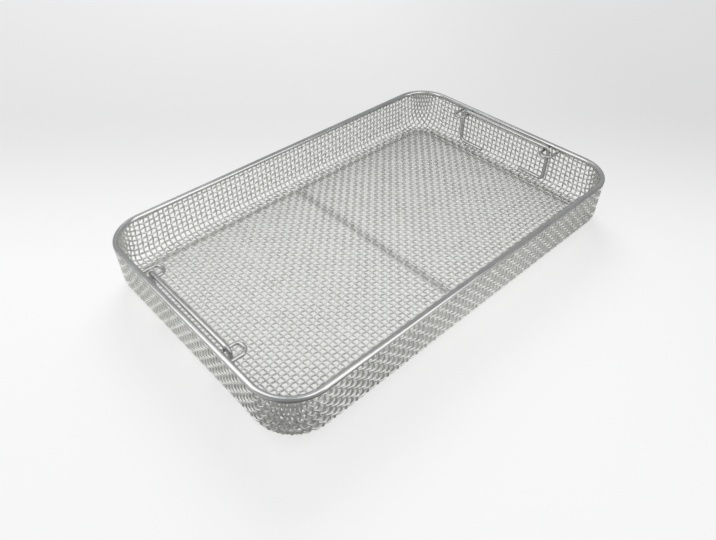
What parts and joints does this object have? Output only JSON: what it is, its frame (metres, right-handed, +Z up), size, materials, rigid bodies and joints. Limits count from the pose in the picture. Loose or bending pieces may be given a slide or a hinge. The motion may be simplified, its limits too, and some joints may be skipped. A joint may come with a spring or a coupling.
{
  "type": "sterilization basket",
  "caption": "Rectangular open-top wire-mesh instrument basket with rounded corners, a round-wire rim, a wire base frame and a drop handle inside each short end.",
  "frame": {"origin": "centre of the basket on the surface that it stands on, under the base ring", "axes": "+X along the length from the left handle to the right handle, +Y across the width, +Z up"},
  "size_m": [0.405, 0.255, 0.0508],
  "materials": {
    "rim_wire": "electropolished round wire, satin gloss",
    "wire_cloth": "plain-weave stainless wire cloth, electropolished",
    "base_wire": "electropolished round wire",
    "handle_wire": "electropolished round wire with smooth bends"
  },
  "bodies": {
    "root": {"rim_ring": "rim_wire", "mesh_body": "wire_cloth", "base_ring": "base_wire", "base_cross_wire": "base_wire", "left_eye_front": "handle_wire", "left_eye_back": "handle_wire", "right_eye_front": "handle_wire", "right_eye_back": "handle_wire"},
    "left_handle_body": {"left_handle": "handle_wire"},
    "right_handle_body": {"right_handle": "handle_wire"}
  },
  "joints": [
    {"name": "left_handle_lift", "type": "slide", "parent": "root", "child": "left_handle_body", "axis": [0, 0, 1], "range_m": [0, 0.0285]},
    {"name": "right_handle_lift", "type": "slide", "parent": "root", "child": "right_handle_body", "axis": [0, 0, 1], "range_m": [0, 0.0285]}
  ]
}
